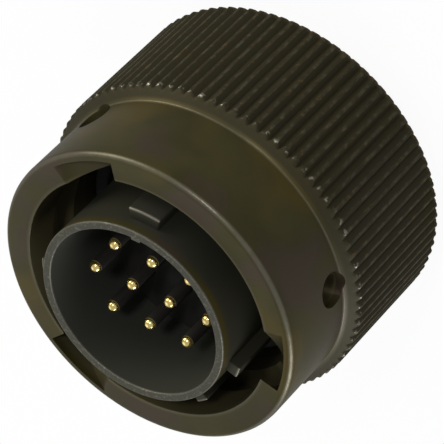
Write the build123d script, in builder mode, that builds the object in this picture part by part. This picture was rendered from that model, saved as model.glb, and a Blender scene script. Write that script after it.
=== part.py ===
"""Circular plug connector: a ten-pin plug shell inside a knurled bayonet coupling ring.

Millimetres. The plug stands on the rear end of its shell, with the origin on the axis there.
+Z runs along the axis towards the mating end, and +Y goes through the main key.
"""
import os
from math import cos, pi, radians, sin, tan

from build123d import *

os.makedirs("parts", exist_ok=True)

# Fits
running_clearance = 0.08
seat_clearance = 0.03
washer_clearance = 0.3

# Plug shell, from the bore of its barrel outwards
barrel_bore_radius = 11.45
barrel_wall = 1.05
barrel_proud = 2.85
rim_chamfer = 0.18
mating_depth = 14.1
flange_thickness = 2.4
insert_ledge = 0.55
journal_wall = 2.4
rear_stub = 4.2
rear_thread_wall = 1.8
rear_thread_land = 0.88
rear_thread_chamfer = 0.6

# Keys on the barrel, with their angles from the main key
key_height = 1.5
key_setback = 1.9
main_key_width = 4.3
small_key_width = 1.7
small_key_angles = (-105.0, -140.0, -215.0, -265.0)
bore_key_width = 1.3
bore_key_height = 0.5

# Coupling ring, from its front face back and from its bore outwards
ring_length = 30.4
sleeve_length = 11.2
sleeve_round = 1.0
mating_gap = 3.9
bore_chamfer = 0.25
web_thickness = 4.6
rear_recess_step = 0.1

# Knurl on the rear part of the ring
knurl_height = 1.56
shoulder_drop = 1.45
shoulder_fillet = 0.35
knurl_depth = 0.5
knurl_land = 0.36
knurl_chamfer = 0.35
tooth_count = 90

# Bayonet grooves, which run clockwise and down from their mouths to the inspection holes
groove_count = 3
groove_inset = 2.45
groove_floor = 1.1
groove_width = 4.2
lead_in_slope = 30.0
lead_in_turn = 33.0
lock_slope = 8.8
lock_turn = 73.0
inspection_hole_radius = 2.18

# Spring washers, flat washers and snap ring
wave_washer_count = 3
wave_washer_pitch = 1.0
wave_washer_thickness = 0.35
wave_count = 3
flat_washer_thickness = 0.8
snap_ring_thickness = 1.2
snap_ring_width = 1.9
snap_groove_depth = 0.75
snap_ring_gap = 5.0

# Seal on the flange
seal_key_clearance = 0.25
seal_thickness = 1.0

# Insulators and their retaining ring
insert_setback = 12.0
front_insert_length = 12.0
rear_insert_length = 5.9
retainer_thickness = 0.8
retainer_width = 1.1
retainer_groove_depth = 0.45
retainer_gap = 4.0

# Contacts, in rows of three, four and three
row_sizes = (3, 4, 3)
pin_pitch = 5.21
row_pitch = 4.93
pin_radius = 0.7935
pin_shank_radius = 0.95
pin_exposed = 8.6
pin_collar_radius = 1.6
pin_collar_length = 1.6
cup_radius = 1.3
cup_bore_radius = 0.95
cup_depth = 5.0
cup_reach = 5.1
cup_scoop_length = 2.6

# Radii of the shell and what sits on it
barrel_radius = barrel_bore_radius + barrel_wall
rear_bore_radius = barrel_bore_radius - insert_ledge
journal_radius = rear_bore_radius + journal_wall
rear_thread_radius = rear_bore_radius + rear_thread_wall
snap_groove_radius = journal_radius - snap_groove_depth
key_radius = barrel_radius + key_height
seal_bore_radius = key_radius + seal_key_clearance
washer_bore_radius = journal_radius + running_clearance

# Radii of the coupling ring and what runs in it
ring_bore_radius = barrel_radius + mating_gap
groove_radius = ring_bore_radius + groove_inset
groove_middle_radius = (ring_bore_radius + groove_radius) / 2
sleeve_radius = groove_radius + groove_floor
knurl_radius = sleeve_radius + knurl_height
rear_recess_radius = ring_bore_radius + rear_recess_step
flange_radius = ring_bore_radius - washer_clearance

# Stations along the axis
ring_back = rear_stub
ring_front = ring_back + ring_length
knurl_front = ring_front - sleeve_length
barrel_rim = ring_front + barrel_proud
flange_front = ring_front - mating_depth
flange_back = flange_front - flange_thickness
spring_back = flange_back - wave_washer_count * wave_washer_pitch
thrust_back = spring_back - flat_washer_thickness
web_front = thrust_back - seat_clearance
web_back = web_front - web_thickness
rear_washer_back = web_back - seat_clearance - flat_washer_thickness
snap_ring_back = rear_washer_back - seat_clearance - snap_ring_thickness
rear_thread_end = snap_ring_back - seat_clearance - rear_thread_land
insert_face = barrel_rim - insert_setback
insert_step = insert_face - front_insert_length
rear_insert_back = insert_step - rear_insert_length
retainer_back = rear_insert_back - seat_clearance - retainer_thickness
pin_tip = insert_face + pin_exposed
cup_end = rear_insert_back - cup_reach


def export(part, name):
    """Label a finished piece and write its STEP file."""
    part.label = name
    export_step(part, f"parts/{name}.step")


def helix_pitch(slope):
    """Rise of one turn at the middle of the groove for a slope in degrees."""
    return 2 * pi * groove_middle_radius * tan(radians(slope))


def section_plane(height, angle):
    """Plane through the axis at an angle, with x outwards and y up, measured from a height."""
    return Plane(
        origin=(0, 0, height),
        x_dir=(cos(radians(angle)), sin(radians(angle)), 0),
        z_dir=(sin(radians(angle)), -cos(radians(angle)), 0),
    )


def radial_plane(height, angle, distance=0):
    """Plane that faces outwards at an angle, at a height and a distance from the axis."""
    outwards = Vector(cos(radians(angle)), sin(radians(angle)), 0)
    return Plane(
        origin=outwards * distance + Vector(0, 0, height),
        x_dir=(0, 0, 1),
        z_dir=outwards,
    )


# Groove cutter: its locked end is at angle zero and height zero
lock_rise = helix_pitch(lock_slope) * lock_turn / 360
lead_in_rise = helix_pitch(lead_in_slope) * lead_in_turn / 360
groove_depth = lock_rise + lead_in_rise
mouth_turn = lead_in_turn * 2
groove_end_height = ring_front - groove_depth
groove_ends = [360 * n / groove_count - lock_turn - lead_in_turn for n in range(groove_count)]
cutter_bore = ring_bore_radius - 1
cutter_reach = groove_radius + 1
cutter_middle = (cutter_bore + cutter_reach) / 2
cutter_size = cutter_reach - cutter_bore

# A helix in a line builder always starts on +X, so both paths are turned to their places here
lock_path = Helix(
    pitch=helix_pitch(lock_slope),
    height=lock_rise,
    radius=cutter_middle,
)
lead_in_path = Pos(0, 0, lock_rise) * Rot(0, 0, lock_turn) * Helix(
    pitch=helix_pitch(lead_in_slope),
    height=helix_pitch(lead_in_slope) * mouth_turn / 360,
    radius=cutter_middle,
)

with BuildPart() as groove_cutter:
    with BuildSketch(section_plane(0, 0)):
        with Locations((cutter_middle, 0)):
            Rectangle(cutter_size, groove_width / cos(radians(lock_slope)))
    sweep(path=lock_path, is_frenet=True)

    with BuildSketch(section_plane(lock_rise, lock_turn)):
        with Locations((cutter_middle, 0)):
            Rectangle(cutter_size, groove_width / cos(radians(lead_in_slope)))
    sweep(path=lead_in_path, is_frenet=True)

    for height, angle in ((0, 0), (lock_rise, lock_turn)):
        with BuildSketch(radial_plane(height, angle, cutter_bore)):
            Circle(groove_width / 2)
        extrude(amount=cutter_size)

    Cylinder(groove_radius, 4 * groove_depth, mode=Mode.INTERSECT)

# Coupling ring
with BuildPart() as coupling_ring:
    with BuildSketch(Plane.XZ) as ring_profile:
        with BuildLine():
            Polyline(
                (ring_bore_radius + bore_chamfer, ring_front),
                (sleeve_radius, ring_front),
                (sleeve_radius, knurl_front),
                (knurl_radius, knurl_front - shoulder_drop),
                (knurl_radius, ring_back),
                (rear_recess_radius, ring_back),
                (rear_recess_radius, web_back),
                (washer_bore_radius, web_back),
                (washer_bore_radius, web_front),
                (ring_bore_radius, web_front),
                (ring_bore_radius, ring_front - bore_chamfer),
                close=True,
            )
        make_face()
        fillet(ring_profile.vertices().group_by(Axis.Y)[-1].sort_by(Axis.X)[-1], radius=sleeve_round)
        shoulder_corner = (sleeve_radius, knurl_front)
        fillet(ring_profile.vertices().sort_by_distance(shoulder_corner)[0], radius=shoulder_fillet)
        chamfer(ring_profile.vertices().group_by(Axis.X)[-1].sort_by(Axis.Y)[0], length=knurl_chamfer)
    revolve(axis=Axis.Z)

    with BuildSketch(Plane.XY.offset(ring_back)) as knurl_notches:
        notch_half_width = pi * knurl_radius / tooth_count - knurl_land / 2
        with PolarLocations(knurl_radius, tooth_count):
            Polygon(
                (0.05, notch_half_width),
                (-knurl_depth, 0),
                (0.05, -notch_half_width),
                align=None,
            )
    extrude(amount=ring_length - sleeve_length, mode=Mode.SUBTRACT)

    for angle in groove_ends:
        with Locations(Location((0, 0, groove_end_height), (0, 0, angle))):
            add(groove_cutter.part, mode=Mode.SUBTRACT)
        with BuildSketch(radial_plane(groove_end_height, angle)):
            Circle(inspection_hole_radius)
        extrude(amount=knurl_radius, mode=Mode.SUBTRACT)

export(coupling_ring.part, "coupling_ring")

# Plug shell
with BuildPart() as plug_shell:
    with BuildSketch(Plane.XZ) as shell_profile:
        with BuildLine():
            Polyline(
                (rear_bore_radius, 0),
                (rear_thread_radius - rear_thread_chamfer, 0),
                (rear_thread_radius, rear_thread_chamfer),
                (rear_thread_radius, rear_thread_end),
                (journal_radius, rear_thread_end),
                (journal_radius, snap_ring_back - seat_clearance),
                (snap_groove_radius, snap_ring_back - seat_clearance),
                (snap_groove_radius, rear_washer_back),
                (journal_radius, rear_washer_back),
                (journal_radius, flange_back),
                (flange_radius, flange_back),
                (flange_radius, flange_front),
                (barrel_radius, flange_front),
                (barrel_radius, barrel_rim - rim_chamfer),
                (barrel_radius - rim_chamfer, barrel_rim),
                (barrel_bore_radius + rim_chamfer, barrel_rim),
                (barrel_bore_radius, barrel_rim - rim_chamfer),
                (barrel_bore_radius, insert_step),
                (rear_bore_radius, insert_step),
                (rear_bore_radius, rear_insert_back),
                (rear_bore_radius + retainer_groove_depth, rear_insert_back),
                (rear_bore_radius + retainer_groove_depth, retainer_back - seat_clearance),
                (rear_bore_radius, retainer_back - seat_clearance),
                close=True,
            )
        make_face()
    revolve(axis=Axis.Z)

    with BuildSketch(Plane.XY.offset(flange_front)) as key_section:
        key_length = key_radius - barrel_radius + rim_chamfer
        with PolarLocations(key_radius, 1, start_angle=90):
            Rectangle(key_length, main_key_width, align=(Align.MAX, Align.CENTER))
        for angle in small_key_angles:
            with PolarLocations(key_radius, 1, start_angle=90 + angle):
                Rectangle(key_length, small_key_width, align=(Align.MAX, Align.CENTER))
        Circle(key_radius, mode=Mode.INTERSECT)
    extrude(amount=barrel_rim - key_setback - flange_front)

    with BuildSketch(Plane.XY.offset(insert_step)) as bore_key_section:
        with Locations((0, barrel_bore_radius - bore_key_height)):
            Rectangle(
                bore_key_width,
                bore_key_height + rim_chamfer,
                align=(Align.CENTER, Align.MIN),
            )
    extrude(amount=barrel_rim - rim_chamfer - insert_step)

export(plug_shell.part, "plug_shell")

# Flat washers, one in front of the ring's web and one behind it
with BuildPart() as thrust_washer:
    with BuildSketch(Plane.XY.offset(thrust_back)):
        Circle(flange_radius)
        Circle(washer_bore_radius, mode=Mode.SUBTRACT)
    extrude(amount=flat_washer_thickness)

export(thrust_washer.part, "thrust_washer")

with BuildPart() as rear_washer:
    with BuildSketch(Plane.XY.offset(rear_washer_back)):
        Circle(flange_radius)
        Circle(washer_bore_radius, mode=Mode.SUBTRACT)
    extrude(amount=flat_washer_thickness)

export(rear_washer.part, "rear_washer")

# Wave washers, each turned by half a wave from the one in front of it
wave_height = (wave_washer_pitch - wave_washer_thickness - seat_clearance) / 2
wave_points = 12 * wave_count


def wave_path(radius, middle, phase):
    """Closed path that rises and falls around the axis."""
    return [
        (
            radius * cos(2 * pi * n / wave_points),
            radius * sin(2 * pi * n / wave_points),
            middle + wave_height * cos(wave_count * 2 * pi * n / wave_points + phase),
        )
        for n in range(wave_points)
    ]


wave_washer_bore = journal_radius + washer_clearance
wave_washer_radius = flange_radius - washer_clearance
wave_washer_middle = (wave_washer_bore + wave_washer_radius) / 2
for index in range(wave_washer_count):
    height = flange_back - (index + 0.5) * wave_washer_pitch
    phase = index * pi
    with BuildPart() as wave_washer:
        with BuildLine() as middle_path:
            Spline(wave_path(wave_washer_middle, height, phase), periodic=True)
        with BuildLine() as outer_path:
            Spline(wave_path(wave_washer_radius, height, phase), periodic=True)
        with BuildSketch(Plane(
            origin=(wave_washer_middle, 0, height + wave_height * cos(phase)),
            x_dir=(1, 0, 0),
            z_dir=(0, 1, 0),
        )):
            Rectangle(wave_washer_radius - wave_washer_bore, wave_washer_thickness)
        sweep(path=middle_path.line, binormal=outer_path.edges()[0])
    export(wave_washer.part, f"wave_washer_{index + 1}")

# Snap ring in the shell's groove, with its gap on the -X side
snap_ring_bore = snap_groove_radius + seat_clearance
with BuildPart() as snap_ring:
    with BuildSketch(Plane.XY.offset(snap_ring_back)):
        Circle(snap_ring_bore + snap_ring_width)
        Circle(snap_ring_bore, mode=Mode.SUBTRACT)
        with Locations((-snap_ring_bore, 0)):
            Rectangle(snap_ring_bore, snap_ring_gap, mode=Mode.SUBTRACT)
    extrude(amount=snap_ring_thickness)

export(snap_ring.part, "snap_ring")

# Seal ring, flat on the front of the flange and outside the keys
with BuildPart() as flange_seal:
    with BuildSketch(Plane.XY.offset(flange_front)):
        Circle(flange_radius)
        Circle(seal_bore_radius, mode=Mode.SUBTRACT)
    extrude(amount=seal_thickness)
    fillet(flange_seal.edges().group_by(Axis.Z)[-1], radius=seal_thickness / 3)

export(flange_seal.part, "flange_seal")

# Places of the contacts
contact_places = [
    ((column - (size - 1) / 2) * pin_pitch, (1 - row) * row_pitch)
    for row, size in enumerate(row_sizes)
    for column in range(size)
]

# Front insulator, with a slot for the key in the barrel's bore
with BuildPart() as front_insert:
    with BuildSketch(Plane.XY.offset(insert_step)):
        Circle(barrel_bore_radius - seat_clearance)
        with Locations((0, barrel_bore_radius)):
            Rectangle(
                bore_key_width + 2 * seat_clearance,
                2 * (bore_key_height + seat_clearance),
                mode=Mode.SUBTRACT,
            )
        with Locations(*contact_places):
            Circle(pin_shank_radius + seat_clearance, mode=Mode.SUBTRACT)
    extrude(amount=front_insert_length)
    with BuildSketch(Plane.XY.offset(insert_step)):
        with Locations(*contact_places):
            Circle(pin_collar_radius + seat_clearance)
    extrude(amount=pin_collar_length, mode=Mode.SUBTRACT)

export(front_insert.part, "front_insert")

# Rear insulator, which holds the solder cups
with BuildPart() as rear_insert:
    with BuildSketch(Plane.XY.offset(rear_insert_back)):
        Circle(rear_bore_radius - seat_clearance)
        with Locations(*contact_places):
            Circle(cup_radius + seat_clearance, mode=Mode.SUBTRACT)
    extrude(amount=rear_insert_length)

export(rear_insert.part, "rear_insert")

# Retaining ring behind the rear insulator
retainer_radius = rear_bore_radius + retainer_groove_depth - seat_clearance
with BuildPart() as insert_retainer:
    with BuildSketch(Plane.XY.offset(retainer_back)):
        Circle(retainer_radius)
        Circle(retainer_radius - retainer_width, mode=Mode.SUBTRACT)
        with Locations((-retainer_radius, 0)):
            Rectangle(retainer_radius, retainer_gap, mode=Mode.SUBTRACT)
    extrude(amount=retainer_thickness)

export(insert_retainer.part, "insert_retainer")

# Contact pin with its collar and solder cup, on the axis
with BuildPart() as contact_pin:
    with BuildSketch(Plane.XZ):
        with BuildLine():
            Polyline(
                (0, cup_end + cup_depth + cup_bore_radius),
                (cup_bore_radius, cup_end + cup_depth),
                (cup_bore_radius, cup_end),
                (cup_radius, cup_end),
                (cup_radius, insert_step),
                (pin_collar_radius, insert_step),
                (pin_collar_radius, insert_step + pin_collar_length - seat_clearance),
                (pin_shank_radius, insert_step + pin_collar_length - seat_clearance),
                (pin_shank_radius, insert_face),
                (pin_radius, insert_face),
                (pin_radius, pin_tip - pin_radius),
            )
            RadiusArc((pin_radius, pin_tip - pin_radius), (0, pin_tip), -pin_radius)
            Line((0, pin_tip), (0, cup_end + cup_depth + cup_bore_radius))
        make_face()
    revolve(axis=Axis.Z)
    with BuildSketch(Plane.XY.offset(cup_end)):
        with Locations((0, -cup_radius)):
            Rectangle(2 * cup_radius, 2 * cup_radius)
    extrude(amount=cup_scoop_length, mode=Mode.SUBTRACT)

for letter, (x, y) in zip("abcdefghij", contact_places):
    export(Pos(x, y, 0) * contact_pin.part, f"contact_pin_{letter}")
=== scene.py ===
"""Looks of the circular plug connector, laid out as an add-on and run as a script."""

from math import atan2, cos, hypot, pi, radians, sin

import bpy
from bpy.props import FloatProperty, FloatVectorProperty, IntProperty, PointerProperty
from bpy.types import Operator, Panel, PropertyGroup
from mathutils import Matrix, Vector


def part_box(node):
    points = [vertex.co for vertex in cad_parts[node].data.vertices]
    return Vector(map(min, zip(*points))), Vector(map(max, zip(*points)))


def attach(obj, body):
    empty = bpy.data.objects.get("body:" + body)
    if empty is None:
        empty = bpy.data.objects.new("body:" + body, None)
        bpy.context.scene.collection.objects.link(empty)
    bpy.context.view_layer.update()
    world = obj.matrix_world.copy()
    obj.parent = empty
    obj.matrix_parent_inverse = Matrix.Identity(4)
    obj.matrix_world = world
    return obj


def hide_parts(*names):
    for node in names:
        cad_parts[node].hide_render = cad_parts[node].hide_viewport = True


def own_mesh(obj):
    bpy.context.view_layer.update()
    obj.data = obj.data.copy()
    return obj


bl_info = {
    "name": "Circular Plug Connector",
    "version": (1, 0, 0),
    "blender": (4, 5, 0),
    "location": "3D View > Sidebar > Connector",
    "description": "Builds the finished pieces of a bayonet plug connector around its fixed frame",
    "category": "Add Mesh",
}

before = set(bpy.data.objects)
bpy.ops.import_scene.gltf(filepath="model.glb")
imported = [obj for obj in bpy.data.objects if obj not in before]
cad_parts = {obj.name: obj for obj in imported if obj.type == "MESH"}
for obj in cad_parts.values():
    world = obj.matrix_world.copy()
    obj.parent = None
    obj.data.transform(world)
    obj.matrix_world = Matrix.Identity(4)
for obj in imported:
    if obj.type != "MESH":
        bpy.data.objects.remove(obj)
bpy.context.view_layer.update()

MM = 0.001
TURN = 2 * pi
WELD = 0.001 * MM
RING_LOW, RING_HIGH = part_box("coupling_ring")
SHELL_LOW, SHELL_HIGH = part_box("plug_shell")
FRONT_INSERT_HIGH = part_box("front_insert")[1]
PIN_LOW, PIN_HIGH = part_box("contact_pin_a")
RING_BACK = RING_LOW[2]
RING_FRONT = RING_HIGH[2]
INSERT_FACE = FRONT_INSERT_HIGH[2]
BARREL_RIM = SHELL_HIGH[2]
PIN_TIP = PIN_HIGH[2]
PIN_LETTERS = "abcdefghij"
# Share of an edge that the rounding of one corner may take
EDGE_SHARE = 0.49

# Plating: grain of its noises, in cells for each metre
BLOTCH_GRAIN = 170
CLOUD_GRAIN = 75
PATCH_GRAIN = 900
FINE_GRAIN = 2600
# Tool marks on the plating: cells for each radian round the axis, and for each metre along it
MARKS_ROUND = 16
MARKS_ALONG = 3200
# Plating: lightness of the blotches, and shares of the grain and the tool marks in the bump
DARK_BLOTCH = 0.88
LIGHT_BLOTCH = 1.12
GRAIN_RELIEF = 0.35
MARKS_RELIEF = 0.65
# Plating: strength of the tints, and what clean plating reflects
TINT_STRENGTH = 0.8
PLATING_IOR = 1.33
PLATING_SHEEN = (1.0, 0.93, 0.66)
# Plating: roughness when clean, and what blotches, grain and wear change in it
CLEAN_ROUGHNESS = 0.33
BLOTCH_ROUGHNESS = 0.08
GRAIN_ROUGHNESS = 0.06
WORN_POLISH = 0.22
# Plating: how metallic it is when clean, and what wear adds
CLEAN_METALLIC = 0.15
WORN_METALLIC = 0.8


class ConnectorSizes(PropertyGroup):
    """Sizes of the pieces that the scene models."""

    sleeve_radius: FloatProperty(
        name="Sleeve radius", description="Outside of the ring's plain front part",
        default=19.95 * MM, unit="LENGTH", precision=5)
    sleeve_length: FloatProperty(
        name="Sleeve length", description="Length of the ring's plain front part",
        default=11.2 * MM, unit="LENGTH", precision=5)
    ring_bore_radius: FloatProperty(
        name="Ring bore radius", description="Bore of the ring between its grooves",
        default=16.4 * MM, unit="LENGTH", precision=5)
    groove_radius: FloatProperty(
        name="Groove radius", description="Floor of the bayonet grooves",
        default=18.85 * MM, unit="LENGTH", precision=5)
    groove_width: FloatProperty(
        name="Groove width", description="Width of a bayonet groove across its run",
        default=4.2 * MM, unit="LENGTH", precision=5)
    knurl_depth: FloatProperty(
        name="Knurl depth", description="Depth of the notches between the knurl's teeth",
        default=0.5 * MM, unit="LENGTH", precision=5)
    shoulder_drop: FloatProperty(
        name="Shoulder drop", description="Length of the sloping shoulder in front of the knurl",
        default=1.45 * MM, unit="LENGTH", precision=5)
    knurl_chamfer: FloatProperty(
        name="Knurl chamfer", description="Chamfer on the rear ends of the knurl's teeth",
        default=0.35 * MM, unit="LENGTH", precision=5)
    tooth_count: IntProperty(
        name="Teeth", description="Number of teeth on the knurl", default=90, min=12)
    barrel_radius: FloatProperty(
        name="Barrel radius", description="Outside of the shell's barrel",
        default=12.5 * MM, unit="LENGTH", precision=5)
    barrel_bore_radius: FloatProperty(
        name="Barrel bore radius", description="Inside of the shell's barrel",
        default=11.45 * MM, unit="LENGTH", precision=5)
    key_radius: FloatProperty(
        name="Key radius", description="Distance of the keys' tops from the axis",
        default=14.0 * MM, unit="LENGTH", precision=5)
    pin_radius: FloatProperty(
        name="Pin radius", description="Radius of a contact pin",
        default=0.7935 * MM, unit="LENGTH", precision=5)


class ConnectorColours(PropertyGroup):
    """Colours of the finishes."""

    plating: FloatVectorProperty(
        name="Plating", description="Olive drab plating where it is clean",
        default=(0.030, 0.0265, 0.0075), size=3, subtype="COLOR", min=0, max=1)
    # Darker plating: partly duller plating, partly painted shade on the knurl and shoulder; made
    # three times lighter it is painted fill light in the bore and grooves
    plating_dull_and_shade: FloatVectorProperty(
        name="Deep plating", description="Olive drab plating in the knurl and in the grooves",
        default=(0.019, 0.0165, 0.008), size=3, subtype="COLOR", min=0, max=1)
    plating_worn: FloatVectorProperty(
        name="Worn plating", description="Plating rubbed thin on edges",
        default=(0.22, 0.21, 0.17), size=3, subtype="COLOR", min=0, max=1)
    tint_warm: FloatVectorProperty(
        name="Warm tint", description="Yellow cloud in the plating",
        default=(0.050, 0.036, 0.006), size=3, subtype="COLOR", min=0, max=1)
    tint_cool: FloatVectorProperty(
        name="Cool tint", description="Reddish grey cloud in the plating",
        default=(0.034, 0.023, 0.018), size=3, subtype="COLOR", min=0, max=1)
    speck: FloatVectorProperty(
        name="Speck", description="Brown specks where the knurl's plating is worn through",
        default=(0.080, 0.050, 0.016), size=3, subtype="COLOR", min=0, max=1)
    rim: FloatVectorProperty(
        name="Rim", description="Barrel's rim, where the plating is dull",
        default=(0.045, 0.045, 0.036), size=3, subtype="COLOR", min=0, max=1)
    bore: FloatVectorProperty(
        name="Bore", description="Inside of the barrel",
        default=(0.036, 0.038, 0.031), size=3, subtype="COLOR", min=0, max=1)
    insulator: FloatVectorProperty(
        name="Insulator", description="Moulded plastic behind the pins",
        default=(0.011, 0.0105, 0.009), size=3, subtype="COLOR", min=0, max=1)
    gold: FloatVectorProperty(
        name="Gold", description="Plating of the contact pins",
        default=(0.80, 0.63, 0.25), size=3, subtype="COLOR", min=0, max=1)
    # Painted shade: dark colour laid on the pins' shafts where shade falls inside the barrel
    painted_shaft_shade: FloatVectorProperty(
        name="Tarnish", description="Dull film on the shafts of the contact pins",
        default=(0.016, 0.014, 0.011), size=3, subtype="COLOR", min=0, max=1)
    steel: FloatVectorProperty(
        name="Steel", description="Washers and snap rings",
        default=(0.42, 0.41, 0.39), size=3, subtype="COLOR", min=0, max=1)
    rubber: FloatVectorProperty(
        name="Rubber", description="Seal and rear insulator",
        default=(0.020, 0.020, 0.020), size=3, subtype="COLOR", min=0, max=1)


class Value:
    """A shader socket that adds, multiplies and compares as a number does."""

    def __init__(self, finish, socket):
        self.finish = finish
        self.socket = socket

    def maths(self, operation, first, second=0.0):
        node = self.finish.node(
            "ShaderNodeMath", {"operation": operation}, {0: first, 1: second})
        return node["Value"]

    def __add__(self, other):
        return self.maths("ADD", self, other)

    __radd__ = __add__

    def __sub__(self, other):
        return self.maths("SUBTRACT", self, other)

    def __rsub__(self, other):
        return self.maths("SUBTRACT", other, self)

    def __mul__(self, other):
        return self.maths("MULTIPLY", self, other)

    __rmul__ = __mul__

    def __abs__(self):
        return self.maths("ABSOLUTE", self)

    def root(self):
        return self.maths("SQRT", self)

    def or_more(self, other):
        """The larger of two values."""
        return self.maths("MAXIMUM", self, other)

    def band(self, low, high):
        """Nothing below low, all above high, smooth between them."""
        node = self.finish.node(
            "ShaderNodeMapRange",
            {"interpolation_type": "SMOOTHSTEP", "clamp": True},
            {"Value": self, "From Min": low, "From Max": high})
        return node["Result"]


class Node:
    """A shader node whose outputs are read by name or number."""

    def __init__(self, finish, node):
        self.finish = finish
        self.node = node

    def __getitem__(self, key):
        return Value(self.finish, self.node.outputs[key])


class Finish:
    """A material and its node tree."""

    def __init__(self, name):
        self.material = bpy.data.materials.new(name)
        self.material.use_nodes = True
        self.tree = self.material.node_tree
        self.shader = self.tree.nodes["Principled BSDF"]
        self.output = self.tree.nodes["Material Output"]
        coordinates = self.node("ShaderNodeTexCoord")
        self.place = coordinates["Object"]
        parts = self.node("ShaderNodeSeparateXYZ", {}, {"Vector": self.place})
        self.x = parts["X"]
        self.y = parts["Y"]
        self.z = parts["Z"]

    def node(self, kind, settings=None, inputs=None):
        node = self.tree.nodes.new(kind)
        for name, value in (settings or {}).items():
            setattr(node, name, value)
        for key, value in (inputs or {}).items():
            self.feed(node.inputs[key], value)
        return Node(self, node)

    def feed(self, socket, value):
        """Link a socket to a value, or set it."""
        if isinstance(value, Value):
            self.tree.links.new(value.socket, socket)
        elif socket.type == "RGBA" and len(value) == 3:
            socket.default_value = (*value, 1.0)
        else:
            socket.default_value = value

    def set(self, name, value):
        self.feed(self.shader.inputs[name], value)

    def radius(self):
        """Distance from the part's axis."""
        return (self.x * self.x + self.y * self.y).root()

    def angle(self):
        """Angle round the part's axis."""
        return self.x.maths("ARCTAN2", self.y, self.x)

    def noise(self, scale, detail, roughness, stretch=(1, 1, 1), vector=None):
        """Noise between 0 and 1, with its grain given in cells for each metre."""
        place = self.node(
            "ShaderNodeVectorMath", {"operation": "MULTIPLY"},
            {0: vector or self.place, 1: tuple(scale * part for part in stretch)})
        node = self.node(
            "ShaderNodeTexNoise", {"noise_dimensions": "3D"},
            {"Vector": place["Vector"], "Scale": 1.0, "Detail": detail, "Roughness": roughness})
        return node["Fac"]

    def round_the_axis(self, round_scale, length_scale):
        """Vector of angle and height, for grain that runs round or along the axis."""
        node = self.node(
            "ShaderNodeCombineXYZ", {},
            {"X": self.angle() * round_scale, "Y": self.z * length_scale})
        return node["Vector"]

    def mix(self, factor, first, second):
        """First colour where the factor is 0, second where it is 1."""
        node = self.node(
            "ShaderNodeMix", {"data_type": "RGBA", "clamp_factor": True},
            {0: factor, 6: first, 7: second})
        return node[2]

    def bump(self, height, strength, distance):
        node = self.node(
            "ShaderNodeBump", {}, {"Strength": strength, "Distance": distance, "Height": height})
        self.set("Normal", node["Normal"])


def scaled(colour, factor):
    """A colour made lighter or darker."""
    return tuple(min(1.0, part * factor) for part in colour)


def plating_finish(name, colours, wear, shade, rough):
    """Olive drab plating, whose colour, wear and extra roughness the given functions place."""
    finish = Finish(name)
    clean = tuple(colours.plating)
    blotches = finish.noise(BLOTCH_GRAIN, detail=3.0, roughness=0.5)
    grain = finish.noise(FINE_GRAIN, detail=3.0, roughness=0.6)
    marks = finish.noise(
        1, detail=5.0, roughness=0.7, vector=finish.round_the_axis(MARKS_ROUND, MARKS_ALONG))
    radius = finish.radius()
    colour = finish.mix(
        blotches.band(0.35, 0.65), scaled(clean, DARK_BLOTCH), scaled(clean, LIGHT_BLOTCH))
    warmth = finish.noise(CLOUD_GRAIN, detail=2.0, roughness=0.5)
    warm = warmth.band(0.49, 0.62) * TINT_STRENGTH
    cool = (1 - warmth).band(0.52, 0.64) * TINT_STRENGTH
    colour = finish.mix(warm, colour, tuple(colours.tint_warm))
    colour = finish.mix(cool, colour, tuple(colours.tint_cool))
    colour = shade(finish, radius, colour)
    patches = finish.noise(PATCH_GRAIN, detail=4.0, roughness=0.65)
    rubbed = wear(finish, radius, patches)
    colour = finish.mix(rubbed, colour, tuple(colours.plating_worn))
    finish.set("Base Color", colour)
    finish.set("Metallic", CLEAN_METALLIC + rubbed * WORN_METALLIC)
    finish.set("IOR", PLATING_IOR)
    finish.set("Specular Tint", PLATING_SHEEN)
    uneven = blotches * BLOTCH_ROUGHNESS + grain * GRAIN_ROUGHNESS
    finish.set("Roughness", CLEAN_ROUGHNESS + rough(finish) + uneven - rubbed * WORN_POLISH)
    finish.bump(grain * GRAIN_RELIEF + marks * MARKS_RELIEF, strength=0.25, distance=0.02 * MM)
    return finish.material


def deselect():
    """Leave edit mode and clear the selection."""
    if bpy.context.mode != "OBJECT":
        bpy.ops.object.mode_set(mode="OBJECT")
    bpy.ops.object.select_all(action="DESELECT")


def activate(piece):
    """Select one piece alone and make it active."""
    deselect()
    piece.select_set(True)
    bpy.context.view_layer.objects.active = piece


def corner_arc(before, corner, after, size, count=5):
    """Points of an arc that rounds a corner of an outline."""
    start = Vector(before) - Vector(corner)
    end = Vector(after) - Vector(corner)
    opening = start.angle(end)
    trim = min(
        size / abs(sin(opening / 2) / cos(opening / 2)),
        start.length * EDGE_SHARE, end.length * EDGE_SHARE)
    middle = Vector(corner)
    first = middle + start.normalized() * trim
    last = middle + end.normalized() * trim
    points = []
    for step in range(count + 1):
        share = step / count
        points.append(tuple(
            first * (1 - share) ** 2 + middle * 2 * share * (1 - share) + last * share ** 2))
    return points


def rounded(outline):
    """Points (radius, height) of a closed outline given as (radius, height, rounding) corners."""
    points = []
    for index, (across, height, size) in enumerate(outline):
        before = outline[index - 1][:2]
        after = outline[(index + 1) % len(outline)][:2]
        if size:
            points.extend(corner_arc(before, (across, height), after, size))
        else:
            points.append((across, height))
    return points


def start_point(name, radius, height):
    """New piece of one vertex, left selected in edit mode."""
    deselect()
    bpy.ops.mesh.primitive_plane_add(size=MM, location=(0, 0, 0))
    piece = bpy.context.object
    piece.name = name
    piece.data.name = name
    bpy.ops.object.mode_set(mode="EDIT")
    bpy.ops.mesh.select_mode(type="VERT")
    bpy.ops.mesh.select_all(action="SELECT")
    bpy.ops.mesh.merge(type="CENTER")
    bpy.ops.transform.translate(value=(radius, 0, height))
    return piece


def extrude(across, along):
    """Extrude the selection away from the axis and along it."""
    bpy.ops.mesh.extrude_region_move(TRANSFORM_OT_translate={"value": (across, 0, along)})


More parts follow.
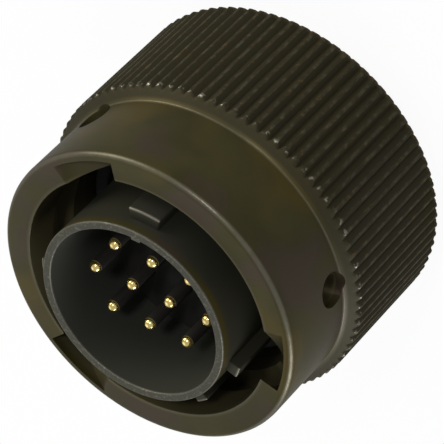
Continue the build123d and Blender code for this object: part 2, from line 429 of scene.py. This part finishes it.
def lathe(name, outline, steps, closed=True, turn=TURN):
    """Spin an outline of (radius, height) points round the axis."""
    piece = start_point(name, *outline[0])
    path = list(outline) + ([outline[0]] if closed else [])
    for (radius, height), (next_radius, next_height) in zip(path, path[1:]):
        extrude(next_radius - radius, next_height - height)
    bpy.ops.mesh.select_all(action="SELECT")
    bpy.ops.mesh.remove_doubles(threshold=WELD)
    bpy.ops.mesh.spin(steps=steps, angle=turn, axis=(0, 0, 1), center=(0, 0, 0))
    bpy.ops.mesh.select_all(action="SELECT")
    bpy.ops.mesh.remove_doubles(threshold=WELD)
    bpy.ops.mesh.normals_make_consistent(inside=False)
    bpy.ops.object.mode_set(mode="OBJECT")
    return piece


def cut(piece, cutter):
    """Cut a piece with a closed mesh, which is then removed."""
    activate(piece)
    modifier = piece.modifiers.new("Cut", "BOOLEAN")
    modifier.operation = "DIFFERENCE"
    modifier.solver = "EXACT"
    modifier.object = cutter
    bpy.ops.object.modifier_apply(modifier=modifier.name)
    bpy.data.objects.remove(cutter)


def join(piece, others):
    """Join other pieces into one."""
    activate(piece)
    for other in others:
        other.select_set(True)
    bpy.ops.object.join()


def place_in_mesh(piece):
    """Put the piece's place, turn and scale into its mesh."""
    activate(piece)
    bpy.ops.object.transform_apply(location=True, rotation=True, scale=True)


def finish_piece(piece, material, smooth_angle=35):
    """Shade a piece and give it its finish."""
    activate(piece)
    bpy.ops.object.shade_smooth_by_angle(angle=radians(smooth_angle))
    piece.data.materials.clear()
    piece.data.materials.append(material)


def dress_node(name, material):
    """Give a CAD node a finish."""
    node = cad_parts[name]
    if not node.data.materials:
        node.data.materials.append(material)
    for slot in node.material_slots:
        slot.material = material


class CONNECTOR_OT_ring(Operator):
    """Coupling ring with its knurl, bayonet grooves and inspection holes"""

    bl_idname = "connector.ring"
    bl_label = "Coupling Ring"

    lead_in_slope = radians(30)
    lead_in_turn = radians(33)
    lock_slope = radians(8.8)
    lock_turn = radians(73)
    groove_count = 3
    hole_radius = 2.18 * MM
    web_front = 14.27 * MM
    web_back = 9.67 * MM
    web_bore = 13.38 * MM
    rear_recess = 16.5 * MM
    cutter_sink = 1.2 * MM
    cutter_overrun = 2
    lock_steps = 30
    lead_in_steps = 28
    hole_steps = 40
    steps_per_tooth = 5
    bore_steps = 8
    sleeve_steps = 6
    shoulder_steps = 6
    tooth_tolerance = 0.01 * MM
    # Shares on the shoulder and knurl: the darker colour (duller plating and painted shade), and
    # extra roughness
    dull_and_shade_share = 0.9
    dull_roughness = 0.20
    # How much lighter than the darker plating the bore and grooves are painted, as fill light
    painted_fill_lightness = 3.0
    speck_grain = 1400
    speck_share = 0.5
    crest_wear = 0.10
    tip_speck_grain = 1900
    tip_wear = 0.9

    def groove_cutter(self, sizes, end_height, end_angle):
        """Closed band along one groove, from its locked end up through its mouth."""
        middle = (sizes.ring_bore_radius + sizes.groove_radius) / 2
        inner = sizes.ring_bore_radius - self.cutter_sink
        width = sizes.groove_width / cos(self.lock_slope)
        deselect()
        bpy.ops.mesh.primitive_plane_add(size=1)
        cutter = bpy.context.object
        bpy.ops.object.mode_set(mode="EDIT")
        bpy.ops.mesh.select_all(action="SELECT")
        bpy.ops.transform.resize(value=(sizes.groove_radius - inner, width, 1))
        bpy.ops.transform.rotate(
            value=pi / 2, orient_axis="X", center_override=(0, 0, 0))
        bpy.ops.transform.translate(value=((sizes.groove_radius + inner) / 2, 0, 0))
        flare = cos(self.lock_slope) / cos(self.lead_in_slope)
        runs = (
            (self.lock_slope, self.lock_turn, self.lock_steps, 1.0),
            (self.lead_in_slope, self.lead_in_turn * self.cutter_overrun,
             self.lead_in_steps, flare),
        )
        height = 0.0
        for slope, turn, steps, widen in runs:
            if widen != 1.0:
                bpy.ops.transform.resize(
                    value=(1, 1, widen), center_override=(0, 0, height))
            for _ in range(steps):
                step_angle = turn / steps
                rise = middle * step_angle * sin(slope) / cos(slope)
                extrude(0, rise)
                bpy.ops.transform.rotate(
                    value=-step_angle, orient_axis="Z", center_override=(0, 0, 0))
                height += rise
        bpy.ops.mesh.select_all(action="SELECT")
        bpy.ops.mesh.normals_make_consistent(inside=False)
        bpy.ops.transform.rotate(value=-end_angle, orient_axis="Z", center_override=(0, 0, 0))
        bpy.ops.transform.translate(value=(0, 0, end_height))
        bpy.ops.object.mode_set(mode="OBJECT")
        return cutter

    def round_cutter(self, radius, height, angle, start, end):
        """Radial cylinder at a height and an angle, from one radius to another."""
        deselect()
        middle = (start + end) / 2
        bpy.ops.mesh.primitive_cylinder_add(
            vertices=self.hole_steps, radius=radius, depth=end - start,
            location=(middle * cos(angle), middle * sin(angle), height),
            rotation=(0, pi / 2, angle))
        cutter = bpy.context.object
        place_in_mesh(cutter)
        return cutter

    def notch_knurl(self, ring, sizes, knurl_radius, knurl_front):
        """Push the vertices between the teeth in to the notches' slopes."""
        root = knurl_radius - sizes.knurl_depth
        steps = self.steps_per_tooth * sizes.tooth_count
        half = self.steps_per_tooth // 2
        for vertex in ring.data.vertices:
            place = vertex.co
            across = hypot(place.x, place.y)
            if place.z > knurl_front + self.tooth_tolerance or across < root:
                continue
            phase = round(atan2(place.y, place.x) / TURN * steps) % self.steps_per_tooth
            phase = min(phase, self.steps_per_tooth - phase)
            limit = root + sizes.knurl_depth * min(1.0, phase / half)
            if across > limit:
                place.x *= limit / across
                place.y *= limit / across

    def behind_sleeve(self, finish, sizes):
        """Shoulder and knurl, where the plating is duller, and partly painted dark as shade of the
        notches.
        """
        sleeve_back = RING_FRONT - sizes.sleeve_length
        return 1 - finish.z.band(sleeve_back - 0.5 * MM, sleeve_back - 0.1 * MM)

    def shade(self, finish, radius, colour, sizes, colours):
        """Duller plating and painted shade behind the sleeve, brown specks on the knurl, and
        painted fill light in bore and grooves.
        """
        dull_and_shade = tuple(colours.plating_dull_and_shade)
        # Painted shade, partly duller plating: the shoulder and knurl take the darker plating
        # colour
        colour = finish.mix(self.behind_sleeve(finish, sizes) * self.dull_and_shade_share, colour, dull_and_shade)
        knurl_radius = RING_HIGH[1]
        crests = radius.band(knurl_radius - 0.14 * MM, knurl_radius - 0.03 * MM)
        specks = finish.noise(self.speck_grain, detail=3.0, roughness=0.6).band(0.55, 0.65)
        crests = crests * specks * self.speck_share
        rear_edge = 1 - finish.z.band(RING_BACK + 0.25 * MM, RING_BACK + 0.7 * MM)
        colour = finish.mix(
            crests + rear_edge * self.speck_share, colour, tuple(colours.speck))
        # Painted fill light: the bore and the groove floors near the front get the darker plating
        # made lighter, standing in for diffuse light that does not reach them
        bore = sizes.ring_bore_radius
        inside = 1 - radius.band(bore + 0.2 * MM, bore + 0.5 * MM)
        below = 1 - finish.z.band(RING_FRONT - 1.5 * MM, RING_FRONT - 0.2 * MM)
        floor = sizes.groove_radius
        groove = 1 - radius.band(floor + 0.05 * MM, floor + 0.15 * MM)
        return finish.mix(
            (groove * below).or_more(inside), colour, scaled(dull_and_shade, self.painted_fill_lightness))

    def wear(self, finish, radius, patches, sizes):
        """Thin wear on the front edge, the shoulder's corner and the teeth."""
        knurl_radius = RING_HIGH[1]
        knurl_front = RING_FRONT - sizes.sleeve_length
        rubbed = None
        # Radius and height of an edge, how far its wear reaches, and its strength
        for edge_radius, edge_height, reach, strength in (
            (sizes.sleeve_radius - 0.3 * MM, RING_FRONT - 0.3 * MM, 0.60 * MM, 0.36),
            (sizes.sleeve_radius, knurl_front, 0.28 * MM, 0.30),
            (sizes.ring_bore_radius, RING_FRONT, 0.22 * MM, 0.15),
        ):
            across = abs(radius - edge_radius) + abs(finish.z - edge_height)
            edge = (1 - across.band(reach * 0.3, reach)) * strength * (0.3 + patches)
            rubbed = edge if rubbed is None else rubbed + edge
        crest = radius.band(knurl_radius - 0.08 * MM, knurl_radius - 0.01 * MM)
        rubbed = rubbed + crest * patches.band(0.48, 0.62) * self.crest_wear
        ends = abs(finish.z - (knurl_front - sizes.shoulder_drop)).band(0.15 * MM, 0.5 * MM)
        specks = finish.noise(self.tip_speck_grain, detail=2.0, roughness=0.5).band(0.50, 0.60)
        high = radius.band(knurl_radius - 0.3 * MM, knurl_radius - 0.1 * MM)
        return rubbed + (1 - ends) * specks * high * self.tip_wear

    def execute(self, context):
        sizes = context.scene.connector_sizes
        colours = context.scene.connector_colours
        knurl_radius = RING_HIGH[1]
        knurl_front = RING_FRONT - sizes.sleeve_length
        chamfer = sizes.knurl_chamfer
        bore = sizes.ring_bore_radius
        bore_rings = [
            (bore, self.web_front + (RING_FRONT - self.web_front) * step / self.bore_steps, 0)
            for step in range(1, self.bore_steps)
        ]
        sleeve_rings = [
            (sizes.sleeve_radius, RING_FRONT - sizes.sleeve_length * step / self.sleeve_steps, 0)
            for step in range(1, self.sleeve_steps)
        ]
        rise = knurl_radius - sizes.sleeve_radius
        shoulder_rings = [
            (sizes.sleeve_radius + rise * step / self.shoulder_steps,
             knurl_front - sizes.shoulder_drop * step / self.shoulder_steps, 0)
            for step in range(2, self.shoulder_steps)
        ]
        outline = rounded([
            (bore, RING_FRONT, 0.14 * MM),
            (sizes.sleeve_radius, RING_FRONT, 1.0 * MM),
            *sleeve_rings,
            (sizes.sleeve_radius, knurl_front, 0.35 * MM),
            *shoulder_rings,
            (knurl_radius, knurl_front - sizes.shoulder_drop, 0.1 * MM),
            (knurl_radius, RING_BACK + chamfer, 0.12 * MM),
            (knurl_radius - chamfer, RING_BACK, 0.1 * MM),
            (self.rear_recess, RING_BACK, 0.12 * MM),
            (self.rear_recess, self.web_back, 0),
            (self.web_bore, self.web_back, 0.1 * MM),
            (self.web_bore, self.web_front, 0.1 * MM),
            (bore, self.web_front, 0),
            *bore_rings,
        ])
        ring = lathe("coupling_ring_skin", outline, self.steps_per_tooth * sizes.tooth_count)
        self.notch_knurl(ring, sizes, knurl_radius, knurl_front)

        middle = (bore + sizes.groove_radius) / 2
        depth = middle * (
            self.lead_in_turn * sin(self.lead_in_slope) / cos(self.lead_in_slope)
            + self.lock_turn * sin(self.lock_slope) / cos(self.lock_slope))
        end_height = RING_FRONT - depth
        for number in range(self.groove_count):
            end_angle = TURN * number / self.groove_count - self.lock_turn - self.lead_in_turn
            cut(ring, self.groove_cutter(sizes, end_height, end_angle))
            cut(ring, self.round_cutter(
                sizes.groove_width / 2, end_height, end_angle,
                bore - self.cutter_sink, sizes.groove_radius))
            cut(ring, self.round_cutter(
                self.hole_radius, end_height, end_angle, bore, sizes.sleeve_radius + MM))

        finish_piece(ring, plating_finish(
            "olive_plating", colours,
            lambda finish, radius, patches: self.wear(finish, radius, patches, sizes),
            lambda finish, radius, colour: self.shade(finish, radius, colour, sizes, colours),
            lambda finish: self.behind_sleeve(finish, sizes) * self.dull_roughness))
        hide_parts("coupling_ring")
        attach(ring, "ring")
        return {"FINISHED"}


class CONNECTOR_OT_shell(Operator):
    """Plug shell with its barrel, keys, flange and rear thread"""

    bl_idname = "connector.shell"
    bl_label = "Plug Shell"

    rim_chamfer = 0.2 * MM
    flange_front = 20.5 * MM
    flange_back = 18.1 * MM
    journal_radius = 13.3 * MM
    groove_floor = 12.55 * MM
    snap_groove_front = 8.81 * MM
    snap_groove_back = 7.54 * MM
    thread_radius = 12.7 * MM
    thread_depth = 0.65 * MM
    thread_pitch = 1.27 * MM
    thread_end = 6.7 * MM
    rear_bore = 10.9 * MM
    insert_step = 13.45 * MM
    key_setback = 1.9 * MM
    main_key_width = 4.3 * MM
    small_key_width = 1.7 * MM
    small_key_angles = (-105, -140, -215, -265)
    bore_key_width = 1.3 * MM
    bore_key_height = 0.5 * MM
    key_root = 0.2 * MM
    key_bevel = 0.16 * MM
    key_bevel_share = 0.3
    key_steps = 8
    lathe_steps = 192
    thread_half = 0.47
    thread_flank = 0.85
    thread_crest = 0.3
    thread_sink = 0.05 * MM
    thread_steps = 96
    thread_back_gap = 0.25 * MM
    thread_front_gap = 0.35 * MM
    extra_roughness = 0.12
    rim_speck_grain = 3400
    # Painted shade on the barrel's outside behind the rim: its darkness and share
    painted_shade_darkness = 0.6
    painted_shade_share = 0.85
    speck_wear = 0.35
    key_wear = 0.7

    def key(self, name, low_radius, high_radius, width, low, high, angle):
        """Bar along the barrel with rounded edges."""
        turn = width / high_radius
        outline = [(low_radius, low), (high_radius, low), (high_radius, high), (low_radius, high)]
        bar = lathe(name, outline, self.key_steps, turn=turn)
        activate(bar)
        bpy.ops.object.mode_set(mode="EDIT")
        bpy.ops.mesh.select_mode(type="VERT")
        bpy.ops.mesh.select_all(action="DESELECT")
        bpy.ops.mesh.select_non_manifold()
        bpy.ops.mesh.edge_face_add()
        bpy.ops.mesh.select_all(action="SELECT")
        bpy.ops.transform.rotate(
            value=-(radians(angle) + turn / 2), orient_axis="Z", center_override=(0, 0, 0))
        bpy.ops.mesh.normals_make_consistent(inside=False)
        bpy.ops.object.mode_set(mode="OBJECT")
        bevel = bar.modifiers.new("Worn edges", "BEVEL")
        bevel.width = min(self.key_bevel, (high_radius - low_radius) * self.key_bevel_share)
        bevel.segments = 3
        bevel.limit_method = "ANGLE"
        bevel.angle_limit = radians(50)
        bpy.ops.object.modifier_apply(modifier=bevel.name)
        return bar

    def shade(self, finish, radius, colour, sizes, colours):
        """Plating, grey on the rim, with painted shade darkening the outside of the barrel behind
        the rim.
        """
        outer = radius.band(sizes.barrel_radius - 0.4 * MM, sizes.barrel_radius - 0.1 * MM)
        rim = finish.z.band(BARREL_RIM - 0.35 * MM, BARREL_RIM - 0.15 * MM)
        colour = finish.mix(outer, tuple(colours.bore), colour)
        # Painted shade in the gap between the barrel and the coupling ring, fading out towards the
        # rim
        outside = outer * (1 - finish.z.band(BARREL_RIM - 1.6 * MM, BARREL_RIM - 0.6 * MM))
        dark = scaled(tuple(colours.bore), self.painted_shade_darkness)
        colour = finish.mix(outside * self.painted_shade_share, colour, dark)
        return finish.mix(rim, colour, tuple(colours.rim))

    def wear(self, finish, radius, patches, sizes):
        """Specks on the rim's edges and a thin line on the keys' front edges."""
        top = BARREL_RIM - self.key_setback
        specks = finish.noise(self.rim_speck_grain, detail=3.0, roughness=0.6).band(0.54, 0.66)
        wall_middle = (sizes.barrel_radius + sizes.barrel_bore_radius) / 2
        chamfer = abs(radius - wall_middle).band(0.30 * MM, 0.50 * MM)
        near = 1 - (BARREL_RIM - finish.z).band(0.05 * MM, 0.4 * MM)
        edge = near * (specks * self.speck_wear + chamfer * (0.12 + patches * 0.35))
        across = abs(radius - sizes.key_radius) + abs(finish.z - top)
        line = 1 - across.band(0.1 * MM, 0.35 * MM)
        return edge + line * self.key_wear * (0.4 + patches)

    def thread(self):
        """Helical ridge of the rear thread."""
        minor = self.thread_radius - self.thread_depth
        half = self.thread_pitch * self.thread_half
        start = -self.thread_pitch
        turns = int((self.thread_end - start) / self.thread_pitch) + 1
        ridge = start_point("rear_thread", minor - self.thread_sink, start - half)
        extrude(self.thread_depth + self.thread_sink, half * self.thread_flank)
        extrude(0, half * self.thread_crest)
        extrude(-self.thread_depth - self.thread_sink, half * self.thread_flank)
        bpy.ops.object.mode_set(mode="OBJECT")
        screw = ridge.modifiers.new("Thread", "SCREW")
        screw.angle = TURN
        screw.screw_offset = self.thread_pitch
        screw.iterations = turns
        screw.steps = self.thread_steps
        screw.render_steps = self.thread_steps
        screw.use_normal_calculate = True
        bpy.ops.object.modifier_apply(modifier=screw.name)
        bpy.ops.object.mode_set(mode="EDIT")
        bpy.ops.mesh.select_all(action="SELECT")
        bpy.ops.mesh.bisect(
            plane_co=(0, 0, SHELL_LOW[2] + self.thread_back_gap), plane_no=(0, 0, 1),
            clear_inner=True)
        bpy.ops.mesh.select_all(action="SELECT")
        bpy.ops.mesh.bisect(
            plane_co=(0, 0, self.thread_end - self.thread_front_gap), plane_no=(0, 0, 1),
            clear_outer=True)
        bpy.ops.mesh.select_all(action="SELECT")
        bpy.ops.mesh.normals_make_consistent(inside=False)
        bpy.ops.object.mode_set(mode="OBJECT")
        return ridge

    def execute(self, context):
        sizes = context.scene.connector_sizes
        colours = context.scene.connector_colours
        minor = self.thread_radius - self.thread_depth
        flange_radius = SHELL_HIGH[0]
        outline = rounded([
            (self.rear_bore, SHELL_LOW[2], 0.15 * MM),
            (minor, SHELL_LOW[2], 0.15 * MM),
            (minor, self.thread_end, 0),
            (self.journal_radius, self.thread_end, 0.1 * MM),
            (self.journal_radius, self.snap_groove_back, 0),
            (self.groove_floor, self.snap_groove_back, 0),
            (self.groove_floor, self.snap_groove_front, 0),
            (self.journal_radius, self.snap_groove_front, 0),
            (self.journal_radius, self.flange_back, 0),
            (flange_radius, self.flange_back, 0.1 * MM),
            (flange_radius, self.flange_front, 0.15 * MM),
            (sizes.barrel_radius, self.flange_front, 0.15 * MM),
            (sizes.barrel_radius, (self.flange_front + BARREL_RIM) / 2, 0),
            (sizes.barrel_radius, BARREL_RIM, self.rim_chamfer),
            (sizes.barrel_bore_radius, BARREL_RIM, self.rim_chamfer * 1.2),
            (sizes.barrel_bore_radius, self.insert_step, 0),
            (self.rear_bore, self.insert_step, 0),
        ])
        shell = lathe("plug_shell_skin", outline, self.lathe_steps)
        top = BARREL_RIM - self.key_setback
        low = self.flange_front - 0.1 * MM
        inner = sizes.barrel_radius - self.key_root
        keys = [self.key("main_key", inner, sizes.key_radius, self.main_key_width, low, top, 90)]
        for angle in self.small_key_angles:
            keys.append(self.key(
                "small_key", inner, sizes.key_radius, self.small_key_width, low, top, 90 + angle))
        keys.append(self.key(
            "bore_key", sizes.barrel_bore_radius - self.bore_key_height,
            sizes.barrel_bore_radius + 0.15 * MM, self.bore_key_width,
            INSERT_FACE - 0.1 * MM, BARREL_RIM - self.rim_chamfer, 90))
        join(shell, keys + [self.thread()])

        finish_piece(shell, plating_finish(
            "shell_plating", colours,
            lambda finish, radius, patches: self.wear(finish, radius, patches, sizes),
            lambda finish, radius, colour: self.shade(finish, radius, colour, sizes, colours),
            lambda finish: self.extra_roughness))
        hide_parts("plug_shell")
        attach(shell, "plug")
        return {"FINISHED"}


class CONNECTOR_OT_contacts(Operator):
    """Ten gold contact pins with their solder cups"""

    bl_idname = "connector.contacts"
    bl_label = "Contact Pins"

    shank_radius = 0.95 * MM
    collar_radius = 1.6 * MM
    collar_low = 13.45 * MM
    collar_length = 1.57 * MM
    cup_radius = 1.3 * MM
    cup_bore = 0.95 * MM
    cup_depth = 5.0 * MM
    scoop_length = 2.6 * MM
    dome_steps = 10
    lathe_steps = 40
    # Painted shade on the pins' shafts: how far below the tip it fades in, and the roughness and
    # loss of metal it brings
    shaft_shade_fade = (0.85 * MM, 0.6 * MM)
    tip_roughness = 0.15
    shaft_roughness = 0.4
    shaft_shade_share = 0.85
    gold_grain = 1500
    gold_darkness = 0.78
    smooth_angle = 40

    def gold_finish(self, colours):
        """Gold plating, with the shaft between the collar and the tip painted dark and dull as
        shade.
        """
        finish = Finish("gold_plating")
        gold = tuple(colours.gold)
        shade = finish.noise(self.gold_grain, detail=3.0, roughness=0.6)
        colour = finish.mix(shade.band(0.35, 0.7), gold, scaled(gold, self.gold_darkness))
        # Painted shade: the shaft from the collar to a little below the tip goes dark, dull and
        # less metallic
        shade_low, shade_high = (PIN_TIP - depth for depth in self.shaft_shade_fade)
        shaft = 1 - finish.z.band(shade_low, shade_high)
        shaft = shaft * finish.z.band(self.collar_low, self.collar_low + self.collar_length)
        colour = finish.mix(shaft, colour, tuple(colours.painted_shaft_shade))
        finish.set("Base Color", colour)
        finish.set("Metallic", 1.0 - shaft * self.shaft_shade_share)
        finish.set("Roughness", self.tip_roughness + shade * 0.08 + shaft * self.shaft_roughness)
        finish.bump(shade, strength=0.08, distance=0.01 * MM)
        return finish.material

    def execute(self, context):
        sizes = context.scene.connector_sizes
        material = self.gold_finish(context.scene.connector_colours)
        radius = sizes.pin_radius
        low = PIN_LOW[2]
        dome = []
        for step in range(self.dome_steps + 1):
            turn = pi / 2 * step / self.dome_steps
            dome.append((radius * cos(turn), PIN_TIP - radius + radius * sin(turn)))
        outline = [
            (0, low + self.cup_depth + self.cup_bore),
            (self.cup_bore, low + self.cup_depth),
            (self.cup_bore, low),
            (self.cup_radius, low),
            (self.cup_radius, self.collar_low),
            (self.collar_radius, self.collar_low),
            (self.collar_radius, self.collar_low + self.collar_length),
            (self.shank_radius, self.collar_low + self.collar_length),
            (self.shank_radius, INSERT_FACE),
            (radius, INSERT_FACE),
            *dome,
        ]
        pattern = lathe("contact_pattern", outline, self.lathe_steps, closed=False)
        deselect()
        bpy.ops.mesh.primitive_cube_add(
            size=2 * self.cup_radius,
            location=(0, -self.cup_radius, low + self.scoop_length - self.cup_radius))
        scoop = bpy.context.object
        place_in_mesh(scoop)
        cut(pattern, scoop)
        for letter in PIN_LETTERS:
            corner, far_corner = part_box(f"contact_pin_{letter}")
            activate(pattern)
            bpy.ops.object.duplicate(linked=False)
            pin = bpy.context.object
            pin.name = f"contact_pin_{letter}_skin"
            pin.location = (
                (corner[0] + far_corner[0]) / 2, (corner[1] + far_corner[1]) / 2, 0)
            place_in_mesh(pin)
            finish_piece(pin, material, self.smooth_angle)
            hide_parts(f"contact_pin_{letter}")
            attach(pin, "plug")
        bpy.data.objects.remove(pattern)
        return {"FINISHED"}


class CONNECTOR_OT_inner_parts(Operator):
    """Finishes of the insulators, seal, washers and snap rings"""

    bl_idname = "connector.inner_parts"
    bl_label = "Insulators, Washers and Seal"

    spring_seat = 18.1 * MM
    spring_keep = 0.8
    scuff_colour = (0.10, 0.10, 0.085)
    scuff_strength = 0.25
    scuff_stretch = (1.0, 0.22, 1.0)
    dust_lightness = 1.4
    rubber_lightness = 1.8
    steel_darkness = 0.8
    # Grain of the noises, in cells for each metre
    dust_grain = 260
    mould_grain = 5200
    scuff_grain = 700
    rubber_cloud_grain = 400
    rubber_grain = 6000
    steel_cloud_grain = 300
    # Marks on the steel: cells for each radian round the axis, and for each metre along it
    steel_marks = (6, 4000)

    def insulator_finish(self, colours):
        """Hard moulded plastic, dusty and scuffed."""
        finish = Finish("hard_insulator")
        base = tuple(colours.insulator)
        cloud = finish.noise(self.dust_grain, detail=4.0, roughness=0.6)
        grain = finish.noise(self.mould_grain, detail=2.0, roughness=0.5)
        scuff = finish.noise(
            self.scuff_grain, detail=5.0, roughness=0.75, stretch=self.scuff_stretch)
        colour = finish.mix(cloud.band(0.35, 0.7), base, scaled(base, self.dust_lightness))
        colour = finish.mix(
            scuff.band(0.62, 0.76) * self.scuff_strength, colour, self.scuff_colour)
        finish.set("Base Color", colour)
        finish.set("Specular IOR Level", 0.25)
        finish.set("Roughness", 0.55 + cloud * 0.2)
        finish.bump(grain * 0.6 + scuff * 0.4, strength=0.25, distance=0.02 * MM)
        return finish.material

    def rubber_finish(self, colours):
        """Dull black rubber with a fine grain."""
        finish = Finish("rubber")
        base = tuple(colours.rubber)
        cloud = finish.noise(self.rubber_cloud_grain, detail=3.0, roughness=0.6)
        finish.set("Base Color", finish.mix(cloud, base, scaled(base, self.rubber_lightness)))
        finish.set("Roughness", 0.62 + cloud * 0.15)
        grain = finish.noise(self.rubber_grain, detail=2.0, roughness=0.5)
        finish.bump(grain, strength=0.2, distance=0.02 * MM)
        return finish.material

    def steel_finish(self, colours):
        """Bare steel with marks that run round the axis."""
        finish = Finish("spring_steel")
        base = tuple(colours.steel)
        turning = finish.noise(
            1, detail=4.0, roughness=0.6, vector=finish.round_the_axis(*self.steel_marks))
        cloud = finish.noise(self.steel_cloud_grain, detail=3.0, roughness=0.6)
        finish.set("Base Color", finish.mix(cloud, scaled(base, self.steel_darkness), base))
        finish.set("Metallic", 1.0)
        finish.set("Roughness", 0.28 + turning * 0.15)
        finish.bump(turning, strength=0.15, distance=0.01 * MM)
        return finish.material

    def execute(self, context):
        colours = context.scene.connector_colours
        dress_node("front_insert", self.insulator_finish(colours))
        rubber = self.rubber_finish(colours)
        for name in ("rear_insert", "flange_seal"):
            dress_node(name, rubber)
        steel = self.steel_finish(colours)
        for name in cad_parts:
            if "washer" in name or name in ("snap_ring", "insert_retainer"):
                dress_node(name, steel)
            if name.startswith("wave_washer"):
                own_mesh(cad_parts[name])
        return {"FINISHED"}


class CONNECTOR_OT_stage(Operator):
    """Floor, white surroundings, lamps and the camera"""

    bl_idname = "connector.stage"
    bl_label = "Stage"

    aim_depth = 16.3 * MM
    camera_azimuth = radians(60.43)
    camera_elevation = radians(39.65)
    camera_roll = radians(-135.14)
    camera_distance = 403.6 * MM
    focal_pixels = 3403
    picture_pixels = 444
    sensor_width = 36
    floor_size = 6
    floor_colour = (0.86, 0.86, 0.86)
    floor_share = 0.94
    floor_shine_loss = 0.6
    room_colour = (0.80, 0.82, 0.86, 1)
    room_strength = 0.42
    shine_colour = (0.62, 0.62, 0.62, 1)
    # Name, azimuth, elevation, distance, size, power and colour
    lamps = (
        ("key_lamp", 78, 45, 0.9, 0.12, 2.4, (1, 1, 1)),
        ("left_lamp", 140, 20, 1.0, 0.6, 6.2, (1.0, 0.94, 0.84)),
        ("right_lamp", -48, 20, 1.0, 0.6, 7.0, (0.94, 0.96, 1.0)),
        ("front_lamp", -140, 50, 1.0, 0.8, 1.3, (1, 1, 1)),
    )

    def direction(self, azimuth, elevation):
        """Unit vector towards an azimuth and an elevation."""
        return Vector((
            cos(elevation) * cos(azimuth), cos(elevation) * sin(azimuth), sin(elevation)))

    def camera(self, aim):
        """Camera of the photograph."""
        data = bpy.data.cameras.new("photo_camera")
        camera = bpy.data.objects.new("photo_camera", data)
        bpy.context.collection.objects.link(camera)
        towards = self.direction(self.camera_azimuth, self.camera_elevation)
        camera.location = aim + towards * self.camera_distance
        level = towards.to_track_quat("Z", "Y").to_matrix().to_4x4()
        camera.rotation_euler = (level @ Matrix.Rotation(self.camera_roll, 4, "Z")).to_euler()
        data.sensor_fit = "HORIZONTAL"
        data.sensor_width = self.sensor_width
        data.lens = self.sensor_width * self.focal_pixels / self.picture_pixels
        data.clip_start = 0.01
        data.clip_end = 20
        bpy.context.scene.camera = camera

    def lamp(self, aim, name, azimuth, elevation, distance, size, power, colour):
        """Round lamp that faces the aim."""
        data = bpy.data.lights.new(name, "AREA")
        data.shape = "DISK"
        data.size = size
        data.energy = power
        data.color = colour
        lamp = bpy.data.objects.new(name, data)
        bpy.context.collection.objects.link(lamp)
        towards = self.direction(radians(azimuth), radians(elevation))
        lamp.location = aim + towards * distance
        lamp.rotation_euler = towards.to_track_quat("Z", "Y").to_euler()

    def floor(self):
        """Pale floor that looks white to the camera, with a soft shadow."""
        deselect()
        bpy.ops.mesh.primitive_plane_add(size=self.floor_size, location=(0, 0, SHELL_LOW[2]))
        floor = bpy.context.object
        floor.name = "floor"
        finish = Finish("pale_floor")
        finish.set("Base Color", self.floor_colour)
        finish.set("Roughness", 0.9)
        rays = finish.node("ShaderNodeLightPath")
        strength = 1.0 - rays["Is Glossy Ray"] * self.floor_shine_loss
        glow = finish.node("ShaderNodeEmission", {}, {"Color": (1, 1, 1), "Strength": strength})
        share = (rays["Is Camera Ray"] + rays["Is Glossy Ray"]) * self.floor_share
        blend = finish.node("ShaderNodeMixShader", {}, {0: share, 2: glow["Emission"]})
        finish.tree.links.new(finish.shader.outputs[0], blend.node.inputs[1])
        finish.tree.links.new(blend.node.outputs[0], finish.output.inputs["Surface"])
        floor.data.materials.append(finish.material)

    def world(self):
        """Soft room light, grey in reflections and white behind the part."""
        world = bpy.data.worlds.new("white_room")
        bpy.context.scene.world = world
        world.use_nodes = True
        tree = world.node_tree
        background = tree.nodes["Background"]
        background.inputs["Color"].default_value = self.room_colour
        background.inputs["Strength"].default_value = self.room_strength
        white = tree.nodes.new("ShaderNodeBackground")
        white.inputs["Color"].default_value = (1, 1, 1, 1)
        pale = tree.nodes.new("ShaderNodeBackground")
        pale.inputs["Color"].default_value = self.shine_colour
        rays = tree.nodes.new("ShaderNodeLightPath")
        shine = tree.nodes.new("ShaderNodeMixShader")
        blend = tree.nodes.new("ShaderNodeMixShader")
        tree.links.new(rays.outputs["Is Glossy Ray"], shine.inputs[0])
        tree.links.new(background.outputs[0], shine.inputs[1])
        tree.links.new(pale.outputs[0], shine.inputs[2])
        tree.links.new(rays.outputs["Is Camera Ray"], blend.inputs[0])
        tree.links.new(shine.outputs[0], blend.inputs[1])
        tree.links.new(white.outputs[0], blend.inputs[2])
        tree.links.new(blend.outputs[0], tree.nodes["World Output"].inputs["Surface"])

    def execute(self, context):
        aim = Vector((0, 0, RING_FRONT - self.aim_depth))
        self.camera(aim)
        self.floor()
        self.world()
        for lamp in self.lamps:
            self.lamp(aim, *lamp)
        context.scene.view_settings.view_transform = "Standard"
        return {"FINISHED"}


class CONNECTOR_PT_pieces(Panel):
    """Lists the operators that build the connector."""

    bl_idname = "CONNECTOR_PT_pieces"
    bl_label = "Plug Connector"
    bl_space_type = "VIEW_3D"
    bl_region_type = "UI"
    bl_category = "Connector"

    def draw(self, context):
        for operator in OPERATORS:
            self.layout.operator(operator.bl_idname)


OPERATORS = (
    CONNECTOR_OT_stage,
    CONNECTOR_OT_ring,
    CONNECTOR_OT_shell,
    CONNECTOR_OT_contacts,
    CONNECTOR_OT_inner_parts,
)
CLASSES = (ConnectorSizes, ConnectorColours, *OPERATORS, CONNECTOR_PT_pieces)


def register():
    for cls in CLASSES:
        bpy.utils.register_class(cls)
    bpy.types.Scene.connector_sizes = PointerProperty(type=ConnectorSizes)
    bpy.types.Scene.connector_colours = PointerProperty(type=ConnectorColours)


def unregister():
    del bpy.types.Scene.connector_colours
    del bpy.types.Scene.connector_sizes
    for cls in reversed(CLASSES):
        bpy.utils.unregister_class(cls)


def main():
    register()
    bpy.ops.connector.stage()
    bpy.ops.connector.ring()
    bpy.ops.connector.shell()
    bpy.ops.connector.contacts()
    bpy.ops.connector.inner_parts()


if __name__ == "__main__":
    main()
